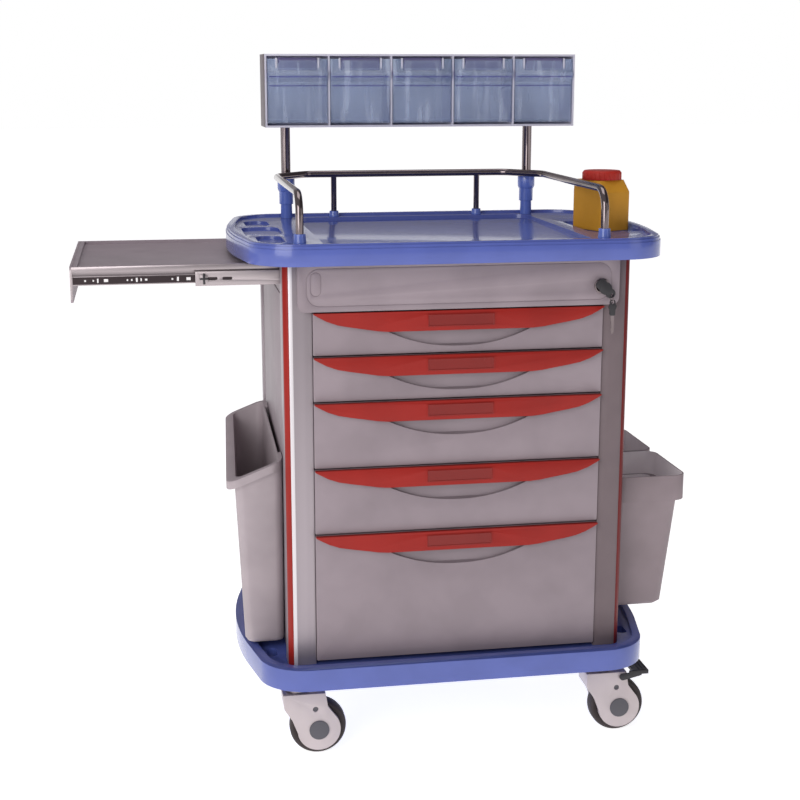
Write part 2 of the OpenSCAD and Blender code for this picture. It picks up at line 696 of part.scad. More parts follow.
module wheel(at) translate([at.x + trail, at.y, wheel_z]) rotate([90, 0, 0]) {
    w = wheel_w / 2;
    color(dark) rotate_extrude($fn = 96) polygon([[37, -w + 2], [46, -w + 1], [49, -w + 4],
        [wheel_d / 2, -w + 9], [wheel_d / 2, w - 9], [49, w - 4], [46, w - 1], [37, w - 2]]);
    color(pale) rotate_extrude($fn = 96) polygon([[6 + run, -w], [15, -w], [17, -5], [34, -5],
        [37, -w + 2], [37, w - 2], [34, 5], [17, 5], [15, w], [6 + run, w]]);
}

module brake_pedal(at) color(dark) translate([at.x + trail + 4, at.y, caster_top - 8]) {
    bar_y(0, 0, -32, 32, 3);
    for (s = [-1, 1]) translate([0, s * 30.2, 0]) rotate([90, 0, 0])
        linear_extrude(3.2, center = true) hull() {
            circle(6);
            translate([32, 5]) circle(4);
        }
    difference() {
        block([12, -31.8, 4], [48, 31.8, 11]);
        block([8, -28.4, 0], [20, 28.4, 14]);
        for (x = [30:7:44]) block([x, -26, 9.6], [x + 2.5, 26, 12]);
    }
}

module caster_front_left() caster(caster_xy[0], false);
module wheel_front_left() wheel(caster_xy[0]);
module caster_front_right() caster(caster_xy[1], true);
module wheel_front_right() wheel(caster_xy[1]);
module caster_rear_left() caster(caster_xy[2], true);
module wheel_rear_left() wheel(caster_xy[2]);
module caster_rear_right() caster(caster_xy[3], false);
module wheel_rear_right() wheel(caster_xy[3]);
module brake_pedal_front() brake_pedal(caster_xy[1]);
module brake_pedal_rear() brake_pedal(caster_xy[2]);

// ---------- build ----------

translate(shift) {
    base_tray();
    chassis_frame();
    caster_mounts();
    column_front_left();
    column_front_right();
    column_rear_left();
    column_rear_right();
    column_strips();
    side_panel_left();
    side_panel_right();
    back_panel();
    top_tray();
    guard_rail();
    post_sockets();
    bin_posts();
    bin_housing();
    lock_panel();
    lock_cylinder();
    drawer_channels();
    shelf_slide_outer();
    box_hangers();
    drawer_1_front();
    drawer_1_handle();
    drawer_1_box();
    drawer_2_front();
    drawer_2_handle();
    drawer_2_box();
    drawer_3_front();
    drawer_3_handle();
    drawer_3_box();
    drawer_4_front();
    drawer_4_handle();
    drawer_4_box();
    drawer_5_front();
    drawer_5_handle();
    drawer_5_box();
    shelf_deck();
    shelf_slide_middle();
    tilt_bin_1();
    tilt_bin_2();
    tilt_bin_3();
    tilt_bin_4();
    tilt_bin_5();
    waste_bin();
    side_box_front();
    side_box_rear();
    sharps_body();
    sharps_cap();
    lock_key();
    spare_key();
    caster_front_left();
    wheel_front_left();
    caster_front_right();
    wheel_front_right();
    caster_rear_left();
    wheel_rear_left();
    caster_rear_right();
    wheel_rear_right();
    brake_pedal_front();
    brake_pedal_rear();
}
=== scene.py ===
"""Crash cart: materials, fine pieces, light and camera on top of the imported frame."""

from __future__ import annotations

import json
import logging
import math
from dataclasses import dataclass, field
from enum import Enum
from typing import Callable

import bmesh
import bpy
from mathutils import Matrix, Vector

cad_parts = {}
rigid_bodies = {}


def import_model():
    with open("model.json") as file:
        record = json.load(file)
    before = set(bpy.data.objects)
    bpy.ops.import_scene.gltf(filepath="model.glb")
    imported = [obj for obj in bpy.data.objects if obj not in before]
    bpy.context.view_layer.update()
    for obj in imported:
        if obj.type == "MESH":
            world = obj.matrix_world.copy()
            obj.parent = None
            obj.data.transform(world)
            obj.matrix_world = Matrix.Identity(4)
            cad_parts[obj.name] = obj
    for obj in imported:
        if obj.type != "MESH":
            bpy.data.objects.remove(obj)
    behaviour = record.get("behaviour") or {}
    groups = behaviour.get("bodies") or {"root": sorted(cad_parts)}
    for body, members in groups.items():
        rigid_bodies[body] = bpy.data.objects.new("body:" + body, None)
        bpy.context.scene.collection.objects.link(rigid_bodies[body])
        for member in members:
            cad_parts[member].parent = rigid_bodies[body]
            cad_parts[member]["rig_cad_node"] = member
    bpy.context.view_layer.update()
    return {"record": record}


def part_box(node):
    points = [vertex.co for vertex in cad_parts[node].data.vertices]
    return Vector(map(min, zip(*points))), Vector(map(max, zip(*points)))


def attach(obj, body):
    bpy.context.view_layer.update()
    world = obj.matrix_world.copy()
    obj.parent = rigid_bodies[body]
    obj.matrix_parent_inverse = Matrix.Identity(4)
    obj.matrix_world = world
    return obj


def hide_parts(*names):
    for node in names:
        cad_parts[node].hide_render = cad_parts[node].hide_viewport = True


logging.basicConfig(level=logging.INFO, format="%(name)s: %(message)s")
log = logging.getLogger("cart")

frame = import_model()

MM = 0.001
SHIFT = Vector((0.100, -0.220, 0.0))

Colour = tuple[float, float, float]
FaceTest = Callable[[Vector, Vector], bool]
Tree = bpy.types.NodeTree
Node = bpy.types.Node
Socket = bpy.types.NodeSocket
Material = bpy.types.Material
Piece = bpy.types.Object

BLACK: Colour = (0.0, 0.0, 0.0)
WHITE: Colour = (1.0, 1.0, 1.0)

# How far apart two points may be and still be joined, in metres.
JOIN = 0.00002


def at(x: float, y: float, z: float) -> Vector:
    """Turn cart millimetres (centre of the cabinet front, floor) into frame metres."""
    return Vector((x, y, z)) * MM + SHIFT


def tone(red: int, green: int, blue: int) -> Colour:
    """Turn a display colour (0 to 255) into the linear colour that shaders take."""
    out = []
    for value in (red, green, blue):
        c = value / 255.0
        out.append(c / 12.92 if c <= 0.04045 else ((c + 0.055) / 1.055) ** 2.4)
    return (out[0], out[1], out[2])


class Axis(Enum):
    """The way a brushed or drawn surface runs."""

    X = 0
    Y = 1
    Z = 2


# ---------------------------------------------------------------- shader groups


def _new_group(name: str, label: str, default: float, *outputs: str) -> Tree:
    """Make an empty shader group that takes one number and gives numbers back.

    Args:
        name: the group's name.
        label: the name of the number it takes.
        default: that number's default.
        outputs: the name of each result.

    Returns:
        The group with its input and output nodes named In and Out.
    """
    group = bpy.data.node_groups.new(name, "ShaderNodeTree")
    taken = group.interface.new_socket(label, in_out="INPUT", socket_type="NodeSocketFloat")
    taken.default_value = default
    for result in outputs:
        group.interface.new_socket(result, in_out="OUTPUT", socket_type="NodeSocketFloat")
    group.nodes.new("NodeGroupInput").name = "In"
    group.nodes.new("NodeGroupOutput").name = "Out"
    return group


def _noise(tree: Tree, scale: float, detail: float, stretch: Vector | None = None) -> Node:
    """Add noise on Object coordinates.

    Args:
        tree: the node tree.
        scale: the noise's scale.
        detail: its detail.
        stretch: scale along each axis, for drawn or brushed patterns.

    Returns:
        The noise node.
    """
    coords = tree.nodes.new("ShaderNodeTexCoord")
    noise = tree.nodes.new("ShaderNodeTexNoise")
    noise.inputs["Scale"].default_value = scale
    noise.inputs["Detail"].default_value = detail
    if stretch is None:
        tree.links.new(coords.outputs["Object"], noise.inputs["Vector"])
        return noise
    mapping = tree.nodes.new("ShaderNodeMapping")
    mapping.inputs["Scale"].default_value = stretch
    tree.links.new(coords.outputs["Object"], mapping.inputs["Vector"])
    tree.links.new(mapping.outputs["Vector"], noise.inputs["Vector"])
    return noise


def _math(tree: Tree, operation: str, *values: object) -> Socket:
    """Add a Math node.

    Args:
        tree: the node tree.
        operation: the Math operation.
        values: sockets or numbers for its inputs.

    Returns:
        Its output socket.
    """
    node = tree.nodes.new("ShaderNodeMath")
    node.operation = operation
    for i, value in enumerate(values):
        if isinstance(value, (int, float)):
            node.inputs[i].default_value = value
        else:
            tree.links.new(value, node.inputs[i])
    return node.outputs[0]


def handling_group() -> Tree:
    """Build the smudge-and-dust group: patchy gloss and a faint darkening.

    Returns:
        The group, with outputs Gloss and Soil, both 0 to 1.
    """
    group = _new_group("handling", "Amount", 0.5, "Gloss", "Soil")
    ends = group.nodes["In"], group.nodes["Out"]
    broad = _noise(group, 7.0, 5.0)
    fine = _noise(group, 90.0, 3.0)
    mixed = _math(group, "MULTIPLY", broad.outputs["Fac"], fine.outputs["Fac"])
    gloss = _math(group, "MULTIPLY", mixed, ends[0].outputs["Amount"])
    spread = _math(group, "SUBTRACT", broad.outputs["Fac"], 0.42)
    soil = _math(group, "MULTIPLY", _math(group, "MAXIMUM", spread, 0.0), ends[0].outputs["Amount"])
    group.links.new(gloss, ends[1].inputs["Gloss"])
    group.links.new(soil, ends[1].inputs["Soil"])
    return group


def grain_group() -> Tree:
    """Build the moulded-grain group: the fine pebbled skin of moulded plastic.

    Returns:
        The group, with the outputs Height and Fleck.
    """
    group = _new_group("moulded_grain", "Depth", 1.0, "Height", "Fleck")
    ends = group.nodes["In"], group.nodes["Out"]
    pebbles = _noise(group, 1400.0, 2.0)
    flow = _noise(group, 16.0, 2.0)
    waves = _math(group, "MULTIPLY", flow.outputs["Fac"], 0.6)
    height = _math(group, "ADD", pebbles.outputs["Fac"], waves)
    deep = _math(group, "MULTIPLY", height, ends[0].outputs["Depth"])
    group.links.new(deep, ends[1].inputs["Height"])
    group.links.new(flow.outputs["Fac"], ends[1].inputs["Fleck"])
    return group


def brushed_group(run: Axis) -> Tree:
    """Build the drawn-metal group: fine lines along one axis.

    Args:
        run: the axis that the lines follow.

    Returns:
        The group, with the outputs Line and Band.
    """
    group = _new_group(f"drawn_lines_{run.name.lower()}", "Amount", 1.0, "Line", "Band")
    ends = group.nodes["In"], group.nodes["Out"]
    stretch = Vector((1.0, 1.0, 1.0))
    stretch[run.value] = 0.006
    lines = _noise(group, 900.0, 3.0, stretch)
    bands = _noise(group, 40.0, 2.0, stretch)
    line = _math(group, "MULTIPLY", lines.outputs["Fac"], ends[0].outputs["Amount"])
    group.links.new(line, ends[1].inputs["Line"])
    group.links.new(bands.outputs["Fac"], ends[1].inputs["Band"])
    return group


class Effects:
    """The shared shader groups, each built once."""

    def __init__(self) -> None:
        """Build every group that more than one finish uses."""
        self.handling = handling_group()
        self.grain = grain_group()
        self.drawn = {axis: brushed_group(axis) for axis in Axis}

    @staticmethod
    def place(tree: Tree, group: Tree, **values: float) -> Node:
        """Put a group into a material.

        Args:
            tree: the material's node tree.
            group: the group to place.
            values: its input values.

        Returns:
            The group node.
        """
        node = tree.nodes.new("ShaderNodeGroup")
        node.node_tree = group
        for label, value in values.items():
            node.inputs[label].default_value = value
        return node


def _ramp(
    tree: Tree, fac: Socket, low: Colour, high: Colour, lo: float, hi: float
) -> Socket:
    """Add a two-stop colour ramp.

    Args:
        tree: the node tree.
        fac: what drives the ramp.
        low: the colour at the first stop.
        high: the colour at the second stop.
        lo: place of the first stop.
        hi: place of the second stop.

    Returns:
        The ramp's colour socket.
    """
    ramp = tree.nodes.new("ShaderNodeValToRGB")
    ramp.color_ramp.elements[0].position = lo
    ramp.color_ramp.elements[1].position = hi
    ramp.color_ramp.elements[0].color = (*low, 1.0)
    ramp.color_ramp.elements[1].color = (*high, 1.0)
    tree.links.new(fac, ramp.inputs["Fac"])
    return ramp.outputs["Color"]


def _mix(tree: Tree, fac: Socket, start: Socket, end: Colour) -> Socket:
    """Mix a colour towards a plain one.

    Args:
        tree: the node tree.
        fac: how far the mix goes.
        start: the colour at 0.
        end: the plain colour at 1.

    Returns:
        The mixed colour's socket.
    """
    mix = tree.nodes.new("ShaderNodeMix")
    mix.data_type = "RGBA"
    mix.inputs["B"].default_value = (*end, 1.0)
    tree.links.new(start, mix.inputs["A"])
    tree.links.new(fac, mix.inputs["Factor"])
    return mix.outputs["Result"]


def _fresh(name: str) -> tuple[Material, Tree, Node]:
    """Make a node material.

    Args:
        name: the material's name.

    Returns:
        The material, its tree and its Principled shader.
    """
    material = bpy.data.materials.new(name)
    material.use_nodes = True
    tree = material.node_tree
    return material, tree, tree.nodes["Principled BSDF"]


def _relief(
    tree: Tree, shader: Node, height: Socket, strength: float, depth: float
) -> None:
    """Feed a height into the shader's normal.

    Args:
        tree: the material's node tree.
        shader: its Principled shader.
        height: the height socket.
        strength: how strongly the relief shows.
        depth: its depth in metres.
    """
    bump = tree.nodes.new("ShaderNodeBump")
    bump.inputs["Strength"].default_value = strength
    bump.inputs["Distance"].default_value = depth
    tree.links.new(height, bump.inputs["Height"])
    tree.links.new(bump.outputs["Normal"], shader.inputs["Normal"])


def _shade(colour: Colour, gain: float) -> Colour:
    """Scale a colour."""
    return (colour[0] * gain, colour[1] * gain, colour[2] * gain)


@dataclass(frozen=True)
class Moulded:
    """Moulded or enamelled surface: body colour, gloss, pebbled skin and handling marks."""

    name: str
    colour: Colour
    rough: float = 0.35
    coat: float = 0.0
    skin: float = 0.12
    marks: float = 0.5
    shift: float = 0.9
    specular: float = 0.5

    def make(self, effects: Effects) -> Material:
        """Build the material.

        Args:
            effects: the shared shader groups.

        Returns:
            The material.
        """
        material, tree, shader = _fresh(self.name)
        grain = Effects.place(tree, effects.grain, Depth=1.0)
        marks = Effects.place(tree, effects.handling, Amount=self.marks)
        dull = _shade(self.colour, self.shift)
        body = _ramp(tree, grain.outputs["Fleck"], dull, self.colour, 0.35, 0.65)
        soiled = _mix(tree, marks.outputs["Soil"], body, _shade(self.colour, 0.62))
        tree.links.new(soiled, shader.inputs["Base Color"])
        rough = _math(tree, "MULTIPLY_ADD", marks.outputs["Gloss"], 0.35, self.rough)
        tree.links.new(rough, shader.inputs["Roughness"])
        shader.inputs["Coat Weight"].default_value = self.coat
        shader.inputs["Coat Roughness"].default_value = 0.06
        shader.inputs["Specular IOR Level"].default_value = self.specular
        _relief(tree, shader, grain.outputs["Height"], self.skin, 0.0006)
        return material


@dataclass(frozen=True)
class Metal:
    """Drawn, anodised or plated metal with lines along one axis."""

    name: str
    colour: Colour
    rough: float
    run: Axis = Axis.Z
    lines: float = 0.1
    metallic: float = 1.0
    marks: float = 0.5

    def make(self, effects: Effects) -> Material:
        """Build the material.

        Args:
            effects: the shared shader groups.

        Returns:
            The material.
        """
        material, tree, shader = _fresh(self.name)
        drawn = Effects.place(tree, effects.drawn[self.run], Amount=1.0)
        marks = Effects.place(tree, effects.handling, Amount=self.marks)
        dull = _shade(self.colour, 0.86)
        body = _ramp(tree, drawn.outputs["Band"], dull, self.colour, 0.3, 0.7)
        tree.links.new(body, shader.inputs["Base Color"])
        shader.inputs["Metallic"].default_value = self.metallic
        gloss = _math(tree, "MULTIPLY_ADD", marks.outputs["Gloss"], 0.3, self.rough)
        rough = _math(tree, "MULTIPLY_ADD", drawn.outputs["Line"], self.lines, gloss)
        tree.links.new(rough, shader.inputs["Roughness"])
        _relief(tree, shader, drawn.outputs["Line"], self.lines, 0.0003)
        return material


@dataclass(frozen=True)
class Clear:
    """See-through tinted plastic, with upright pale bands of painted highlight."""

    name: str
    colour: Colour
    alpha: float
    rough: float = 0.08
    highlight_streaks: float = 0.0
    highlight_colour: Colour = (0.82, 0.87, 0.95)

    def make(self, effects: Effects) -> Material:
        """Build the material.

        Args:
            effects: the shared shader groups.

        Returns:
            The material.
        """
        material, tree, shader = _fresh(self.name)
        marks = Effects.place(tree, effects.handling, Amount=0.8)
        grain = Effects.place(tree, effects.grain, Depth=1.0)
        dull = _shade(self.colour, 0.85)
        body = _ramp(tree, grain.outputs["Fleck"], dull, self.colour, 0.3, 0.7)
        # Painted highlight: upright pale bands, mixed into the colour and added to the alpha.
        highlight_streaks = _noise(tree, 1.0, 2.0, Vector((62.0, 8.0, 7.0)))
        highlight_streak = _ramp(tree, highlight_streaks.outputs["Fac"], BLACK, WHITE, 0.52, 0.72)
        highlight_amount = _math(tree, "MULTIPLY", highlight_streak, 2.0 * self.highlight_streaks)
        highlighted = _mix(tree, highlight_amount, body, self.highlight_colour)
        tree.links.new(highlighted, shader.inputs["Base Color"])
        rough = _math(tree, "MULTIPLY_ADD", marks.outputs["Gloss"], 0.3, self.rough)
        tree.links.new(rough, shader.inputs["Roughness"])
        base = _math(tree, "MULTIPLY_ADD", highlight_streak, self.highlight_streaks, self.alpha)
        alpha = _math(tree, "MULTIPLY_ADD", marks.outputs["Soil"], 0.3, base)
        tree.links.new(alpha, shader.inputs["Alpha"])
        shader.inputs["Specular IOR Level"].default_value = 0.7
        _relief(tree, shader, grain.outputs["Height"], 0.05, 0.0004)
        return material


class Finish(Enum):
    """Every finish on the cart."""

    BLUE = Moulded(
        "blue_abs", tone(84, 98, 172), rough=0.2, coat=0.35, skin=0.05, marks=0.35, specular=0.4
    )
    GREY = Moulded(
        "grey_enamel", tone(147, 134, 140), rough=0.42, skin=0.1, marks=0.3, specular=0.35
    )
    DECK = Moulded("deck_enamel", tone(152, 138, 145), rough=0.45, skin=0.1, marks=0.4)
    RED = Moulded("red_plastic", tone(150, 32, 25), rough=0.34, skin=0.05, specular=0.22)
    # Painted shadow: the dark red on the undersides of the handle strips.
    SHADOW_RED = Moulded("red_underside", tone(88, 24, 24), rough=0.5, skin=0.06)
    WEB = Metal("slide_web", tone(66, 58, 60), rough=0.34, run=Axis.X, lines=0.15)
    LABEL = Moulded("label_window", tone(128, 32, 27), rough=0.2, skin=0.03, specular=0.3)
    LILAC = Moulded("lilac_plastic", tone(196, 194, 208), rough=0.35, skin=0.06)
    BIN = Moulded("bin_grey", tone(172, 160, 164), rough=0.42, skin=0.14, specular=0.35)
    SIDE_BIN = Moulded("side_bin_grey", tone(144, 130, 134), rough=0.45, skin=0.14, specular=0.3)
    # Painted light: a near-white grey for the inside walls of the side boxes, whose plastic is the
    # darker grey.
    BIN_INSIDE = Moulded("bin_grey_inside", tone(246, 238, 240), rough=0.5, skin=0.14)
    # Painted shade: the dark mauve on the bin housing's outer left side.
    LILAC_SIDE = Moulded("lilac_side", tone(92, 78, 86), rough=0.4, skin=0.06, specular=0.3)
    BOX = Moulded("drawer_plastic", tone(205, 200, 200), rough=0.5, skin=0.12)
    OCHRE = Moulded(
        "sharps_yellow", tone(208, 148, 46), rough=0.45, skin=0.1, shift=0.85, specular=0.2
    )
    CAP = Moulded("sharps_red", tone(178, 44, 34), rough=0.42, skin=0.1, specular=0.22)
    CASTER = Moulded("caster_grey", tone(198, 186, 186), rough=0.32, coat=0.2, skin=0.05)
    TYRE = Moulded("tyre_rubber", tone(52, 42, 42), rough=0.55, skin=0.35, marks=0.9)
    HUB = Moulded("hub_grey", tone(84, 82, 88), rough=0.4, skin=0.1)
    BLACK = Moulded("black_plastic", tone(34, 32, 36), rough=0.35, skin=0.15)
    # Painted highlight: a pale band on the rounded corner of the front left column.
    COLUMN_EDGE = Metal(
        "column_lit_edge", tone(222, 216, 219), rough=0.34, run=Axis.Z, lines=0.12, metallic=0.3
    )
    # Painted shade: the right columns' darker grey, the same aluminium as the left ones.
    COLUMN_TURNED = Moulded(
        "column_shaded", tone(116, 103, 106), rough=0.4, skin=0.06, specular=0.2
    )
    # Painted shade: the darker red of the strips on the right-hand columns.
    STRIP_TURNED = Moulded(
        "red_strip_shaded", tone(112, 32, 32), rough=0.4, skin=0.05, specular=0.15
    )
    # Painted light: the near-white floors of the web's slots, standing in for light seen through the
    # holes.
    PUNCHED = Moulded("punched_slot", tone(236, 232, 232), rough=0.4, skin=0.05)
    # Painted light: the sockets' lighter copy of the blue plastic.
    SOCKET = Moulded("blue_socket", tone(98, 120, 200), rough=0.22, coat=0.4, skin=0.05, marks=0.3)
    COLUMN = Metal(
        "column_alu", tone(164, 154, 159), rough=0.3, run=Axis.Z, lines=0.12, metallic=0.55
    )
    # The chrome's colour is darkened to stand in for a dark room in its reflections: painted shade.
    CHROME = Metal(
        "chrome_tube", tone(128, 117, 118), rough=0.07, run=Axis.Z, lines=0.02, marks=0.2
    )
    SLIDE = Metal("plated_slide", tone(176, 166, 168), rough=0.3, run=Axis.X, lines=0.15)
    RACE = Metal("bearing_steel", tone(168, 160, 164), rough=0.26, run=Axis.Z, lines=0.1)
    FRAME = Moulded("frame_powder", tone(120, 112, 116), rough=0.5, skin=0.3)
    # The bins' upright pale bands are painted highlight.
    CLEAR = Clear("bin_clear", tone(178, 196, 232), alpha=0.25, highlight_streaks=0.2)
    CLEAR_EDGE = Clear("bin_clear_edge", tone(92, 92, 176), alpha=0.5)
    # Painted shade: the dark, nearly opaque mauve of each bin's finger recess.
    RECESS = Clear("bin_recess", tone(78, 70, 118), alpha=0.85)


class Palette:
    """Makes each finish's material once."""

    def __init__(self) -> None:
        """Start with the shared groups and no materials."""
        self.effects = Effects()
        self.made: dict[Finish, Material] = {}

    def __getitem__(self, finish: Finish) -> Material:
        """Return a finish's material."""
        if finish not in self.made:
            self.made[finish] = finish.value.make(self.effects)
        return self.made[finish]

    def dress(self, piece: Piece, finish: Finish) -> Piece:
        """Give a piece one finish.

        Args:
            piece: the object.
            finish: its finish.

        Returns:
            The same object.
        """
        piece.data.materials.clear()
        piece.data.materials.append(self[finish])
        return piece


# ---------------------------------------------------------------- modelling bench


class Bench:
    """Modelling steps on bpy.ops, each leaving one finished mesh at the origin."""

    @staticmethod
    def clear() -> None:
        """Leave edit mode and deselect everything."""
        if bpy.context.mode != "OBJECT":
            bpy.ops.object.mode_set(mode="OBJECT")
        bpy.ops.object.select_all(action="DESELECT")

    @staticmethod
    def hold(piece: Piece) -> None:
        """Select a piece alone and make it active."""
        Bench.clear()
        piece.select_set(True)
        bpy.context.view_layer.objects.active = piece

    @staticmethod
    def settle(piece: Piece, name: str) -> Piece:
        """Bake a piece's place into its mesh and name it.

        Args:
            piece: the object.
            name: its new name.

        Returns:
            The object.
        """
        Bench.hold(piece)
        bpy.ops.object.transform_apply(location=True, rotation=True, scale=True)
        piece.name = name
        piece.data.name = name
        return piece

    @staticmethod
    def block(name: str, low: Vector, high: Vector) -> Piece:
        """Add a block between two corners.

        Args:
            name: the piece's name.
            low: its lowest corner.
            high: its highest corner.

        Returns:
            The object.
        """
        Bench.clear()
        bpy.ops.mesh.primitive_cube_add(size=1.0, location=(low + high) / 2)
        piece = bpy.context.active_object
        piece.scale = high - low
        return Bench.settle(piece, name)

    @staticmethod
    def pick_faces(piece: Piece, test: FaceTest) -> int:
        """Enter edit mode with the faces that pass a test selected.

        Args:
            piece: the object.
            test: takes a face's centre and normal.

        Returns:
            How many faces are selected.
        """
        Bench.hold(piece)
        bpy.ops.object.mode_set(mode="EDIT")
        bpy.ops.mesh.select_mode(type="FACE")
        bpy.ops.mesh.select_all(action="DESELECT")
        mesh = bmesh.from_edit_mesh(piece.data)
        count = 0
        for face in mesh.faces:
            if test(face.calc_center_median(), face.normal):
                face.select = True
                count += 1
        mesh.select_flush_mode()
        bmesh.update_edit_mesh(piece.data)
        return count

    @staticmethod
    def finish(
        piece: Piece, bevel: float = 0.0, segments: int = 3, smooth: float = 40.0
    ) -> Piece:
        """Round a piece's sharp edges and smooth it.

        Args:
            piece: the object.
            bevel: edge radius in metres, or 0.
            segments: steps in the radius.
            smooth: angle in degrees under which faces shade smooth.

        Returns:
            The object.
        """
        Bench.hold(piece)
        if bevel > 0:
            rounding = piece.modifiers.new("edges", "BEVEL")
            rounding.width = bevel
            rounding.segments = segments
            rounding.limit_method = "ANGLE"
            rounding.angle_limit = math.radians(32)
            rounding.use_clamp_overlap = True
            bpy.ops.object.modifier_apply(modifier=rounding.name)
        bpy.ops.object.shade_smooth_by_angle(angle=math.radians(smooth))
        return piece

    @staticmethod
    def from_node(node: str, name: str) -> Piece:
        """Copy a CAD node's mesh, merged and with its flats joined.

        Args:
            node: the CAD node.
            name: the new piece's name.

        Returns:
            The object.
        """
        Bench.clear()
        source = NODES[node]
        piece = bpy.data.objects.new(name, source.data.copy())
        bpy.context.scene.collection.objects.link(piece)
        piece.matrix_world = Matrix.Identity(4)
        Bench.hold(piece)
        bpy.ops.object.mode_set(mode="EDIT")
        bpy.ops.mesh.select_all(action="SELECT")
        bpy.ops.mesh.remove_doubles(threshold=JOIN)
        bpy.ops.mesh.dissolve_limited(angle_limit=math.radians(0.8), delimit={"NORMAL"})
        bpy.ops.object.mode_set(mode="OBJECT")
        return piece

    @staticmethod
    def ease(piece: Piece, low: float, high: float) -> Piece:
        """Turn a stepped rim into a slope, by raising the step's inner ring.

        Args:
            piece: the object.
            low: height of the step.
            high: height of the ring above it.

        Returns:
            The same object.
        """
        Bench.hold(piece)
        bpy.ops.object.mode_set(mode="EDIT")
        bpy.ops.mesh.select_mode(type="VERT")
        bpy.ops.mesh.select_all(action="DESELECT")
        mesh = bmesh.from_edit_mesh(piece.data)
        for vert in mesh.verts:
            above = (edge.other_vert(vert).co - vert.co for edge in vert.link_edges)
            vert.select = abs(vert.co.z - low) < JOIN / 2 and any(
                abs(step.z - (high - low)) < JOIN / 2 and step.xy.length < JOIN / 2
                for step in above
            )
        bmesh.update_edit_mesh(piece.data)
        bpy.ops.transform.translate(value=(0.0, 0.0, high - low))
        bpy.ops.mesh.select_all(action="SELECT")
        bpy.ops.mesh.remove_doubles(threshold=JOIN)
        bpy.ops.object.mode_set(mode="OBJECT")
        return piece

    @staticmethod
    def twin(piece: Piece, name: str, move: Vector) -> Piece:
        """Copy a finished piece with its own mesh, moved.

        Args:
            piece: the piece to copy.
            name: the copy's name.
            move: how far it moves.

        Returns:
            The copy.
        """
        Bench.clear()
        copy = bpy.data.objects.new(name, piece.data.copy())
        copy.data.name = name
        bpy.context.scene.collection.objects.link(copy)
        copy.location = move
        return Bench.settle(copy, name)


NODES: dict[str, Piece] = {
    o["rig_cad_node"]: o for o in bpy.data.objects if "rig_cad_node" in o
}

NODE_SLOT: dict[str, str] = {
    part["node"]: part["material_slot"] for part in frame["record"]["subparts"]
}

FINISH_SLOT: dict[Finish, str] = {
    Finish.RECESS: "bin_clear", Finish.CLEAR_EDGE: "bin_clear", Finish.LILAC: "lilac_plastic",
    Finish.LABEL: "red_strip", Finish.WEB: "steel_slide", Finish.BLACK: "pedal_black",
    Finish.RACE: "steel_slide",
}


@dataclass
class Maker:
    """What every sub-assembly shares: the palette and the ways to dress and place a piece."""

    palette: Palette
    made: list[str] = field(default_factory=list)

    def show(self, piece: Piece, body: str, finish: Finish, *nodes: str) -> Piece:
        """Dress a piece, put it on its body and let it stand for CAD nodes.

        Args:
            piece: the finished object.
            body: the body it rides on.
            finish: its finish.
            nodes: CAD nodes that it stands for.

        Returns:
            The piece.
        """
        self.palette.dress(piece, finish)
        NODE_SLOT[nodes[0]] if nodes else FINISH_SLOT[finish]
        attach(piece, body)
        if nodes:
            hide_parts(*nodes)
        self.made.append(piece.name)
        log.info("%s on %s, %d faces", piece.name, body, len(piece.data.polygons))
        return piece

    def soften(
        self, node: str, body: str, finish: Finish, bevel: float, segments: int = 2
    ) -> Piece:
        """Show a CAD node as a moulded piece with rounded edges.

        Args:
            node: the CAD node.
            body: the body it rides on.
            finish: its finish.
            bevel: edge radius in millimetres.
            segments: steps in the radius.

        Returns:
            The piece.
        """
        piece = Bench.finish(Bench.from_node(node, f"{node}_skin"), bevel * MM, segments)
        return self.show(piece, body, finish, node)

    def paint(self, piece: Piece, finish: Finish, test: FaceTest) -> None:
        """Give the faces that pass a test a second finish.

        Args:
            piece: the object, already dressed.
            finish: the second finish.
            test: takes a face's centre and normal.
        """
        piece.data.materials.append(self.palette[finish])
        slot = len(piece.data.materials) - 1
        for face in piece.data.polygons:
            if test(face.center, face.normal):
                face.material_index = slot

    def keep(self, finish: Finish, *nodes: str) -> None:
        """Let CAD nodes show as they are, with a finish of their own."""
        for node in nodes:
            self.palette.dress(NODES[node], finish)


CORNERS = ("front_left", "front_right", "rear_left", "rear_right")


@dataclass
class BaseDeck(Maker):
    """The blue base tray, the steel floor and the four swivel races."""

    edge: float = 3.0
    rim_step: float = 4.0

    def build(self) -> None:
        """Build the base."""
        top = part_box("base_tray")[1].z
        plain = Bench.from_node("base_tray", "base_tray_skin")
        tray = Bench.ease(plain, top - self.rim_step * MM, top)
        self.show(Bench.finish(tray, self.edge * MM, 3), "cart", Finish.BLUE, "base_tray")
        self.keep(Finish.FRAME, "chassis_frame")
        self.soften("caster_mounts", "cart", Finish.RACE, 0.8)


@dataclass
class Cabinet(Maker):
    """The columns with their red strips, the panels and the lock fascia."""

    def build(self) -> None:
        """Build the cabinet."""
        for corner in CORNERS:
            # The right columns get a darker finish than the left: painted shade.
            finish = Finish.COLUMN_TURNED if "right" in corner else Finish.COLUMN
            post = self.soften(f"column_{corner}", "cart", finish, 0.6)
            if corner == "front_left":
                # The front left column's corner faces get a pale band: painted highlight.
                self.paint(post, Finish.COLUMN_EDGE, lambda c, n: n.y < -0.8 and n.x < -0.02)
        strips = self.soften("column_strips", "cart", Finish.RED, 0.5)
        # The strips right of the middle are painted darker red: painted shade.
        self.paint(strips, Finish.STRIP_TURNED, lambda c, n: c.x > at(0, 0, 0).x)
        self.soften("side_panel_left", "cart", Finish.GREY, 1.2)
        self.soften("side_panel_right", "cart", Finish.GREY, 1.2)
        self.soften("back_panel", "cart", Finish.GREY, 1.0)
        self.soften("lock_panel", "cart", Finish.GREY, 0.4)
        self.keep(Finish.SLIDE, "drawer_channels", "shelf_slide_outer", "box_hangers")


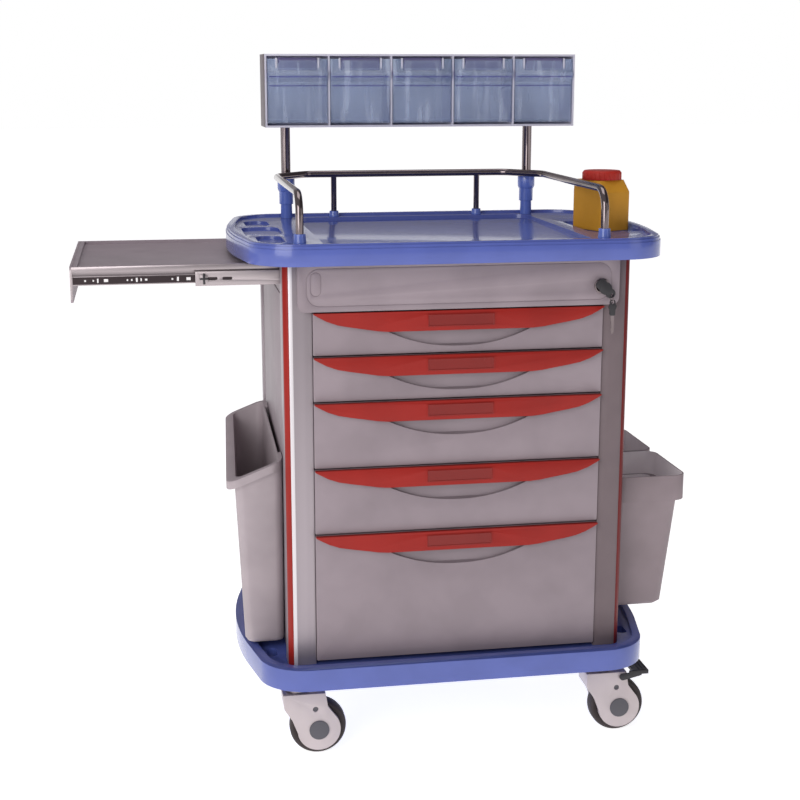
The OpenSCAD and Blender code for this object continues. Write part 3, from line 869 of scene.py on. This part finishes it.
@dataclass
class WorkTop(Maker):
    """The blue top tray with its chrome rail, sockets and posts."""

    edge: float = 3.2

    def build(self) -> None:
        """Build the worktop."""
        self.soften("top_tray", "cart", Finish.BLUE, self.edge, 3)
        # The sockets get a lighter blue than the trays: painted light.
        self.soften("post_sockets", "cart", Finish.SOCKET, 0.9)
        self.soften("guard_rail", "cart", Finish.CHROME, 0.0)
        self.soften("bin_posts", "cart", Finish.CHROME, 0.0)


@dataclass
class TiltBins(Maker):
    """The raised housing and its five clear bins, each with a finger recess, tabs and ribs."""

    count: int = 5
    recess_half: float = 35.0
    recess_top: float = 1206.5
    recess_low: float = 1184.0
    rib_heights: tuple[float, float] = (1173.0, 1157.0)

    def recess(self, middle: float, face: float) -> Piece:
        """Make a bin's finger recess: a shallow tray let in at the top of its face.

        Args:
            middle: the bin's middle, in metres along X.
            face: its upper face, in metres along Y.

        Returns:
            The recess.
        """
        low = Vector((middle - self.recess_half * MM, face - 0.0012, self.recess_low * MM))
        high = Vector((middle + self.recess_half * MM, face + 0.0060, self.recess_top * MM))
        piece = Bench.block("tilt_bin_1_recess", low, high)
        Bench.pick_faces(piece, lambda c, n: n.y < -0.5)
        bpy.ops.mesh.inset(thickness=0.0016, depth=0.0)
        bpy.ops.mesh.extrude_region_move(TRANSFORM_OT_translate={"value": (0.0, 0.0008, 0.0)})
        bpy.ops.object.mode_set(mode="OBJECT")
        return Bench.finish(piece, 0.0005, 2)

    def tabs(self, middle: float, face: float) -> Piece:
        """Make the two upright tabs beside a bin's recess, each with a rounded foot.

        Args:
            middle: the bin's middle, in metres along X.
            face: its upper face, in metres along Y.

        Returns:
            The tabs.
        """
        reach = self.recess_half * MM + 0.0030
        low = Vector((middle - reach - 0.0016, face - 0.0026, (self.recess_low + 5.0) * MM))
        piece = Bench.block("tilt_bin_1_tabs", low, low + Vector((0.0032, 0.0030, 0.0172)))
        Bench.pick_faces(piece, lambda c, n: n.z < -0.5)
        bpy.ops.mesh.extrude_region_move(TRANSFORM_OT_translate={"value": (0.0, 0.0009, -0.0022)})
        bpy.ops.mesh.select_all(action="SELECT")
        bpy.ops.mesh.duplicate_move(TRANSFORM_OT_translate={"value": (2 * reach, 0.0, 0.0)})
        bpy.ops.object.mode_set(mode="OBJECT")
        return Bench.finish(piece, 0.0007, 2)

    def ribs(self, middle: float, half: float, face: float) -> Piece:
        """Make the stiffening ribs across a bin's face.

        Args:
            middle: the bin's middle, in metres along X.
            half: half its width, in metres.
            face: its lower face, in metres along Y.

        Returns:
            The ribs.
        """
        top, low_rib = (z * MM for z in self.rib_heights)
        low = Vector((middle - half + 0.0030, face - 0.0012, low_rib - 0.0009))
        high = Vector((middle + half - 0.0030, face + 0.0004, low_rib + 0.0009))
        piece = Bench.block("tilt_bin_1_ribs", low, high)
        Bench.pick_faces(piece, lambda c, n: n.y < -0.5)
        bpy.ops.mesh.inset(thickness=0.0003, depth=0.0)
        bpy.ops.mesh.select_all(action="SELECT")
        bpy.ops.mesh.duplicate_move(TRANSFORM_OT_translate={"value": (0.0, -0.0066, top - low_rib)})
        bpy.ops.object.mode_set(mode="OBJECT")
        return Bench.finish(piece, 0.0004, 2)

    def build(self) -> None:
        """Build the housing and the bins."""
        housing = self.soften("bin_housing", "cart", Finish.LILAC, 0.7)
        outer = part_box("bin_housing")[0].x + 0.001
        # The housing's outer left side is painted dark mauve: painted shade.
        self.paint(housing, Finish.LILAC_SIDE, lambda c, n: n.x < -0.9 and c.x < outer)
        first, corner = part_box("tilt_bin_1")
        middle, half = (first.x + corner.x) / 2, (corner.x - first.x) / 2 - 0.0015
        face = first.y + 0.0080
        # The finger recess is dark mauve and nearly opaque: painted shade in the pocket.
        parts = (
            (self.recess(middle, face), Finish.RECESS),
            (self.tabs(middle, face), Finish.LILAC),
            (self.ribs(middle, half, face), Finish.CLEAR_EDGE),
        )
        for index in range(1, self.count + 1):
            node, body = f"tilt_bin_{index}", f"bin_{index}"
            shell = self.soften(node, body, Finish.CLEAR, 0.5)
            self.paint(shell, Finish.CLEAR_EDGE, lambda c, n: abs(n.x) > 0.6)
            step = Vector((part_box(node)[0].x - first.x, 0.0, 0.0))
            for part, finish in parts:
                piece = part
                if index > 1:
                    piece = Bench.twin(part, part.name.replace("_1_", f"_{index}_"), step)
                self.show(piece, body, finish)


@dataclass
class Drawers(Maker):
    """Five drawers: front, red handle strip, label window and box."""

    label_half: float = 56.0
    label_high: float = 20.0

    def label(self) -> Piece:
        """Make the first drawer's label window, a framed plate on the handle strip.

        Returns:
            The window.
        """
        low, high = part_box("drawer_1_handle")
        middle = (low.x + high.x) / 2
        top = high.z - 0.006
        piece = Bench.block(
            "drawer_1_label",
            Vector((middle - self.label_half * MM, low.y - 0.0008, top - self.label_high * MM)),
            Vector((middle + self.label_half * MM, low.y + 0.0030, top)),
        )
        Bench.pick_faces(piece, lambda c, n: n.y < -0.5)
        bpy.ops.mesh.inset(thickness=0.0016, depth=0.0)
        bpy.ops.mesh.extrude_region_move(TRANSFORM_OT_translate={"value": (0.0, 0.0007, 0.0)})
        bpy.ops.mesh.inset(thickness=0.0006, depth=0.0)
        bpy.ops.object.mode_set(mode="OBJECT")
        return Bench.finish(piece, 0.0004, 2)

    def build(self) -> None:
        """Build the drawers."""
        first_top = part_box("drawer_1_handle")[1].z
        label = self.label()
        for index in range(1, 6):
            body = f"drawer_{index}"
            self.soften(f"{body}_front", body, Finish.GREY, 1.0)
            strip = self.soften(f"{body}_handle", body, Finish.RED, 1.2)
            # The strip's downward faces get a dark red: painted shadow.
            self.paint(strip, Finish.SHADOW_RED, lambda c, n: n.z < -0.45)
            self.soften(f"{body}_box", body, Finish.BOX, 0.5)
            window = label
            if index > 1:
                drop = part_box(f"{body}_handle")[1].z - first_top
                window = Bench.twin(label, f"{body}_label", Vector((0.0, 0.0, drop)))
            self.show(window, body, Finish.LABEL)


@dataclass
class SideShelf(Maker):
    """The pull-out shelf, its punched slide members and the black release levers."""

    # Each slot in the web: its middle from the shelf's free end, its width and its height.
    holes: tuple[tuple[float, float, float], ...] = (
        (24.0, 3.0, 3.0), (37.0, 2.4, 3.0), (44.0, 2.6, 7.0), (57.0, 7.0, 5.0),
        (91.0, 2.4, 3.0), (98.0, 2.4, 3.4), (106.0, 3.0, 7.0), (113.0, 2.4, 5.0),
        (121.0, 4.0, 3.4), (163.0, 3.0, 3.0), (172.0, 3.4, 7.0), (189.0, 7.0, 5.0),
    )
    web_faces: tuple[float, float] = (48.4, 423.6)
    web_thick: float = 0.6
    lever_x: float = -418.0
    lever_out: float = 1.2

    def web(self, side: int) -> Piece:
        """Make the dark web of one inner slide member, with its punched slots.

        Args:
            side: -1 for the front slide, 1 for the rear one.

        Returns:
            The web.
        """
        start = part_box("shelf_deck")[0].x
        thick, middle = self.web_thick * MM, 0.8526
        face = at(0, self.web_faces[side > 0], 0).y - (thick if side < 0 else 0.0)
        low = Vector((start + 0.0045, face, 0.8468))
        high = Vector((at(-345, 0, 0).x, low.y + thick, 0.8584))
        piece = Bench.block(f"shelf_web_{'front' if side < 0 else 'rear'}", low, high)
        Bench.hold(piece)
        bpy.ops.object.mode_set(mode="EDIT")
        cells = []
        for x, wide, tall in self.holes:
            left, right = start + (x - wide / 2) * MM, start + (x + wide / 2) * MM
            cells.append((left, right, middle - tall * MM / 2, middle + tall * MM / 2))
            for edge in (left, right):
                bpy.ops.mesh.select_all(action="SELECT")
                bpy.ops.mesh.bisect(plane_co=(edge, 0, 0), plane_no=(1, 0, 0))
        for edge in sorted({round(v, 6) for c in cells for v in c[2:]}):
            bpy.ops.mesh.select_all(action="SELECT")
            bpy.ops.mesh.bisect(plane_co=(0, 0, edge), plane_no=(0, 0, 1))
        bpy.ops.object.mode_set(mode="OBJECT")

        def in_slot(c: Vector, n: Vector) -> bool:
            """Tell whether a face lies in a slot."""
            return n.y * side > 0.5 and any(
                left < c.x < right and foot < c.z < head for left, right, foot, head in cells
            )

        Bench.pick_faces(piece, in_slot)
        bpy.ops.mesh.extrude_region_move(TRANSFORM_OT_translate={"value": (0.0, -0.0004 * side, 0.0)})
        bpy.ops.object.mode_set(mode="OBJECT")
        self.show(piece, "shelf", Finish.WEB)
        deep = low.y + thick / 2
        # The slot floors are painted near white: painted light showing through the holes.
        self.paint(
            piece, Finish.PUNCHED, lambda c, n: abs(n.y) > 0.5 and abs(c.y - deep) < 0.0002
        )
        return piece

    def lever(self, side: int) -> Piece:
        """Make one black cross-shaped release lever.

        Args:
            side: -1 for the front slide, 1 for the rear one.

        Returns:
            The lever.
        """
        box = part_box("shelf_slide_middle")
        face = box[0].y if side < 0 else box[1].y
        out = face + side * self.lever_out * MM
        x = at(self.lever_x, 0, 0).x
        piece = Bench.block(
            f"shelf_lever_{'front' if side < 0 else 'rear'}",
            Vector((x - 0.0018, min(face, out), 0.8505)),
            Vector((x + 0.0018, max(face, out), 0.8535)),
        )
        for ends in ((1, 0, 0), (-1, 0, 0), (0, 0, 1), (0, 0, -1)):
            way = Vector(ends)
            reach = 0.0055 if way.x else 0.0075

            def at_end(c: Vector, n: Vector, way: Vector = way) -> bool:
                """Tell whether a face closes this arm of the cross."""
                return n.dot(way) > 0.9 and (bool(way.x) or abs(c.x - x) < 0.001)

            Bench.pick_faces(piece, at_end)
            bpy.ops.mesh.extrude_region_move(TRANSFORM_OT_translate={"value": way * reach})
            bpy.ops.object.mode_set(mode="OBJECT")
        return Bench.finish(piece, 0.0004, 2)

    def build(self) -> None:
        """Build the shelf."""
        deck = self.soften("shelf_deck", "shelf", Finish.DECK, 0.7)
        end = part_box("shelf_deck")[0].x + 0.005
        self.paint(
            deck, Finish.SLIDE, lambda c, n: c.z < 0.8665 and abs(n.y) > 0.4 and c.x > end
        )
        self.soften("shelf_slide_middle", "shelf_slide", Finish.SLIDE, 0.4)
        for side in (-1, 1):
            self.web(side)
            self.show(self.lever(side), "shelf_slide", Finish.BLACK)


@dataclass
class HangingBins(Maker):
    """The waste bin and the two side boxes."""

    def box(self, node: str, body: str) -> None:
        """Build one side box, with painted light on its inside walls.

        Args:
            node: the box's CAD node.
            body: the body it rides on.
        """
        low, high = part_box(node)
        middle = (low + high) / 2
        shell = self.soften(node, body, Finish.SIDE_BIN, 0.9)
        # The inward faces above the floor are painted near white: painted light.
        self.paint(
            shell, Finish.BIN_INSIDE,
            lambda c, n: (c - middle).dot(n) < 0 and c.z > low.z + 0.02,
        )

    def build(self) -> None:
        """Build the bins."""
        self.soften("waste_bin", "waste_bin_body", Finish.BIN, 0.9)
        self.box("side_box_front", "box_front")
        self.box("side_box_rear", "box_rear")


@dataclass
class Sharps(Maker):
    """The ochre sharps container and its red screw cap."""

    def build(self) -> None:
        """Build the container and cap."""
        self.soften("sharps_body", "sharps", Finish.OCHRE, 2.0, 3)
        self.soften("sharps_cap", "sharps_lid", Finish.CAP, 0.8)


@dataclass
class Lock(Maker):
    """The cam lock with its key and the spare key that hangs from it."""

    bow_back: float = -16.9
    ring_down: float = 14.8
    blade_up: float = 30.0

    def build(self) -> None:
        """Build the lock and keys."""
        self.soften("lock_cylinder", "cart", Finish.CHROME, 0.6)
        key = self.soften("lock_key", "key", Finish.BLACK, 0.4)
        self.paint(key, Finish.CHROME, lambda c, n: c.y > at(0, self.bow_back, 0).y)
        spare = self.soften("spare_key", "key_spare", Finish.BLACK, 0.3)
        low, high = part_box("spare_key")
        ring, blade = high.z - self.ring_down * MM, low.z + self.blade_up * MM
        self.paint(spare, Finish.CHROME, lambda c, n: c.z > ring or c.z < blade)


@dataclass
class Casters(Maker):
    """Four casters: cover, hub cap, steel bracket, wheel and two brake pedals."""

    cap_radius: float = 17.6
    screw_radius: float = 4.9
    tyre_inside: float = 36.9
    trail: float = 35.0
    axle_height: float = 50.0
    screw_height: float = 89.0

    @staticmethod
    def swivel(corner: str) -> Vector:
        """Return a caster's swivel axis, at the floor."""
        x = -275 if "left" in corner else 275
        return at(x, 60.0 if "front" in corner else 385.0, 0)

    def bracket(self, corner: str) -> Piece:
        """Make the steel bracket on top of one caster's cover.

        Args:
            corner: the caster's corner.

        Returns:
            The bracket.
        """
        axis = self.swivel(corner)
        low = axis + Vector((-0.0265, -0.0256, 0.1085))
        high = axis + Vector((0.0470, 0.0256, 0.1183))
        piece = Bench.block(f"caster_{corner}_bracket", low, high)
        Bench.pick_faces(piece, lambda c, n: n.z > 0.5)
        bpy.ops.mesh.inset(thickness=0.004, depth=0.0)
        bpy.ops.mesh.extrude_region_move(TRANSFORM_OT_translate={"value": (0.0, 0.0, 0.0004)})
        bpy.ops.object.mode_set(mode="OBJECT")
        return Bench.finish(piece, 0.0012, 2)

    def build(self) -> None:
        """Build the casters."""
        model = self.bracket(CORNERS[0])
        for corner in CORNERS:
            axis = self.swivel(corner)
            axle = axis + Vector((self.trail, 0.0, self.axle_height)) * MM
            screw = axis + Vector((self.trail - 6, 0.0, self.screw_height)) * MM

            def off(c: Vector, line: Vector) -> float:
                """Measure how far a point is from a line along Y, in millimetres."""
                return math.hypot(c.x - line.x, c.z - line.z) / MM

            def on_cap(c: Vector, n: Vector, axle: Vector = axle) -> bool:
                """Tell whether a face of the cover lies on a hub cap."""
                return off(c, axle) < self.cap_radius and abs(c.y - axle.y) > 0.0272

            def on_screw(c: Vector, n: Vector, screw: Vector = screw) -> bool:
                """Tell whether a face of the cover lies in the screw hole above the cap."""
                return off(c, screw) < self.screw_radius and 0.024 < abs(c.y - screw.y) < 0.0269

            def on_rim(c: Vector, n: Vector, axle: Vector = axle) -> bool:
                """Tell whether a face of the wheel lies inside its tyre."""
                return off(c, axle) < self.tyre_inside

            cover = self.soften(f"caster_{corner}", f"swivel_{corner}", Finish.CASTER, 1.4, 3)
            self.paint(cover, Finish.HUB, on_cap)
            self.paint(cover, Finish.HUB, on_screw)
            piece = model
            if corner != CORNERS[0]:
                step = axis - self.swivel(CORNERS[0])
                piece = Bench.twin(model, f"caster_{corner}_bracket", step)
            self.show(piece, f"swivel_{corner}", Finish.RACE)
            wheel = self.soften(f"wheel_{corner}", f"roller_{corner}", Finish.TYRE, 0.6)
            self.paint(wheel, Finish.CASTER, on_rim)
        self.soften("brake_pedal_front", "pedal_front", Finish.BLACK, 0.7)
        self.soften("brake_pedal_rear", "pedal_rear", Finish.BLACK, 0.7)


# The finish of each node whose name starts so; the first that fits counts.
NODE_FINISH: dict[str, Finish] = {
    "base_tray": Finish.BLUE, "top_tray": Finish.BLUE, "post_sockets": Finish.BLUE,
    "chassis_frame": Finish.FRAME, "caster_mounts": Finish.RACE, "drawer_channels": Finish.SLIDE,
    "shelf_slide": Finish.SLIDE, "box_hangers": Finish.SLIDE, "column_strips": Finish.RED,
    "column": Finish.COLUMN, "shelf_deck": Finish.DECK, "guard_rail": Finish.CHROME,
    "bin_posts": Finish.CHROME, "lock_cylinder": Finish.CHROME, "bin_housing": Finish.LILAC,
    "tilt_bin": Finish.CLEAR, "waste_bin": Finish.BIN, "side_box": Finish.BIN,
    "sharps_body": Finish.OCHRE, "sharps_cap": Finish.CAP, "lock_key": Finish.BLACK,
    "spare_key": Finish.BLACK, "caster_": Finish.CASTER, "wheel_": Finish.TYRE,
    "brake_pedal": Finish.BLACK,
    **{f"drawer_{index}_handle": Finish.RED for index in range(1, 6)},
    **{f"drawer_{index}_box": Finish.BOX for index in range(1, 6)},
}


def finish_of(node: str) -> Finish:
    """Choose a CAD node's first finish; panels and drawer fronts are grey.

    Args:
        node: the node's name.

    Returns:
        Its finish.
    """
    for start, finish in NODE_FINISH.items():
        if node.startswith(start):
            return finish
    return Finish.GREY


@dataclass
class Studio:
    """The pale floor, soft lights and camera."""

    lens: float = 65.97
    eye: Vector = field(default_factory=lambda: Vector((-0.4117, -2.5701, 1.1807)))
    tilt: float = 77.4
    turn: float = -9.9

    def floor(self) -> None:
        """Lay one large pale floor."""
        Bench.clear()
        bpy.ops.mesh.primitive_plane_add(size=60.0, location=(0.0, 0.0, 0.0))
        floor = bpy.context.active_object
        floor.name = "floor"
        material, tree, shader = _fresh("studio_floor")
        cloudy = _noise(tree, 0.7, 2.0)
        tint = _ramp(
            tree, cloudy.outputs["Fac"], (0.84, 0.84, 0.845), (0.88, 0.88, 0.885), 0.3, 0.7
        )
        tree.links.new(tint, shader.inputs["Base Color"])
        shader.inputs["Roughness"].default_value = 0.7
        shader.inputs["Emission Color"].default_value = (1.0, 1.0, 1.0, 1.0)
        shader.inputs["Emission Strength"].default_value = 0.8
        floor.data.materials.append(material)

    def sky(self) -> None:
        """Light the room: white from the side of +Y and above it, grey elsewhere."""
        world = bpy.context.scene.world or bpy.data.worlds.new("studio")
        bpy.context.scene.world = world
        world.use_nodes = True
        tree = world.node_tree
        background = tree.nodes["Background"]
        coords = tree.nodes.new("ShaderNodeTexCoord")
        split = tree.nodes.new("ShaderNodeSeparateXYZ")
        tree.links.new(coords.outputs["Generated"], split.inputs["Vector"])
        above = _math(tree, "SUBTRACT", split.outputs["Z"], 0.055)
        height = _math(tree, "MAXIMUM", above, 0.0)
        side = _math(tree, "MULTIPLY_ADD", height, -20.0, split.outputs["Y"])
        behind = _ramp(
            tree, split.outputs["X"], (0.36, 0.345, 0.36), (0.12, 0.11, 0.12), 0.0, 0.5
        )
        white = _ramp(tree, side, BLACK, WHITE, 0.05, 0.55)
        tree.links.new(_mix(tree, white, behind, WHITE), background.inputs["Color"])
        background.inputs["Strength"].default_value = 1.0

    def lamp(self, name: str, place: Vector, aim: Vector, size: float, power: float) -> None:
        """Hang one square soft light.

        Args:
            name: its name.
            place: where it hangs.
            aim: the point that it faces.
            size: its side in metres.
            power: its power in watts.
        """
        data = bpy.data.lights.new(name, "AREA")
        data.shape = "SQUARE"
        data.size = size
        data.energy = power
        lamp = bpy.data.objects.new(name, data)
        bpy.context.scene.collection.objects.link(lamp)
        lamp.location = place
        lamp.rotation_mode = "QUATERNION"
        lamp.rotation_quaternion = (aim - place).to_track_quat("-Z", "Y")

    def camera(self) -> None:
        """Set the camera."""
        data = bpy.data.cameras.new("camera")
        data.lens = self.lens
        data.sensor_width = 36.0
        data.clip_start, data.clip_end = 0.05, 200.0
        eye = bpy.data.objects.new("camera", data)
        bpy.context.scene.collection.objects.link(eye)
        eye.location = self.eye
        eye.rotation_euler = (math.radians(self.tilt), 0.0, math.radians(self.turn))
        bpy.context.scene.camera = eye

    def build(self) -> None:
        """Set up the whole studio."""
        bpy.context.scene.view_settings.view_transform = "Standard"
        self.floor()
        self.sky()
        middle = Vector((0.0, 0.0, 0.6))
        self.lamp("key_light", Vector((-1.8, -2.4, 1.7)), middle, 2.0, 46.0)
        self.lamp("fill_light", Vector((2.6, -2.6, 1.6)), middle, 1.6, 8.0)
        self.lamp("top_light", Vector((0.1, 0.2, 3.4)), middle, 2.0, 22.0)
        self.camera()


def main() -> None:
    """Build every sub-assembly, then the studio."""
    palette = Palette()
    for name, node in NODES.items():
        palette.dress(node, finish_of(name))
    log.info("%d nodes dressed", len(NODES))
    parts = (
        BaseDeck, Cabinet, WorkTop, TiltBins, Drawers,
        SideShelf, HangingBins, Sharps, Lock, Casters,
    )
    for part in parts:
        assembly = part(palette)
        assembly.build()
        log.info("%s: %d pieces", part.__name__, len(assembly.made))
    Studio().build()


if __name__ == "__main__":
    main()
